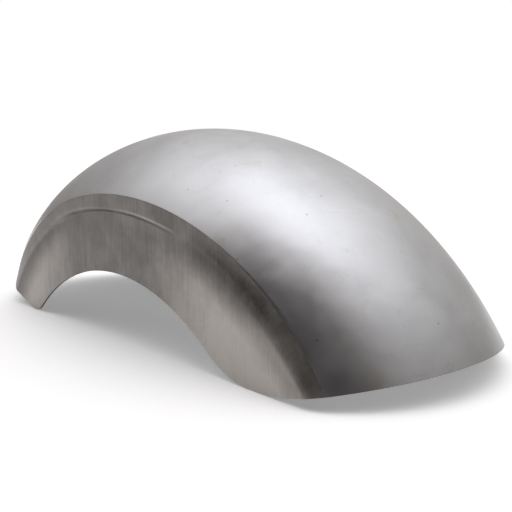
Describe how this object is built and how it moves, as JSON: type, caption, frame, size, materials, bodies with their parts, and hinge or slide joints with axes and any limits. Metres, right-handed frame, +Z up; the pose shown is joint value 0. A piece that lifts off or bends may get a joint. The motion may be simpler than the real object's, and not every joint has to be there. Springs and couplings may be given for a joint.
{
  "type": "motorcycle rear fender",
  "caption": "Wide rear fender for a motorcycle, rolled from bare steel sheet, with an arched crown, creased shoulders and flat side plates cut to follow the wheel.",
  "frame": {"origin": "centre of the fender's footprint, on the surface that the toes of its side plates stand on", "axes": "+X across to the machine's right side, +Y toward the front of the machine, +Z up"},
  "size_m": [0.249, 0.5886, 0.1925],
  "materials": {
    "fender": "bare cold-rolled sheet, satin on the crown and belt-sanded on the shoulders and plates"
  },
  "bodies": {
    "root": {"fender": "fender"}
  },
  "joints": []
}
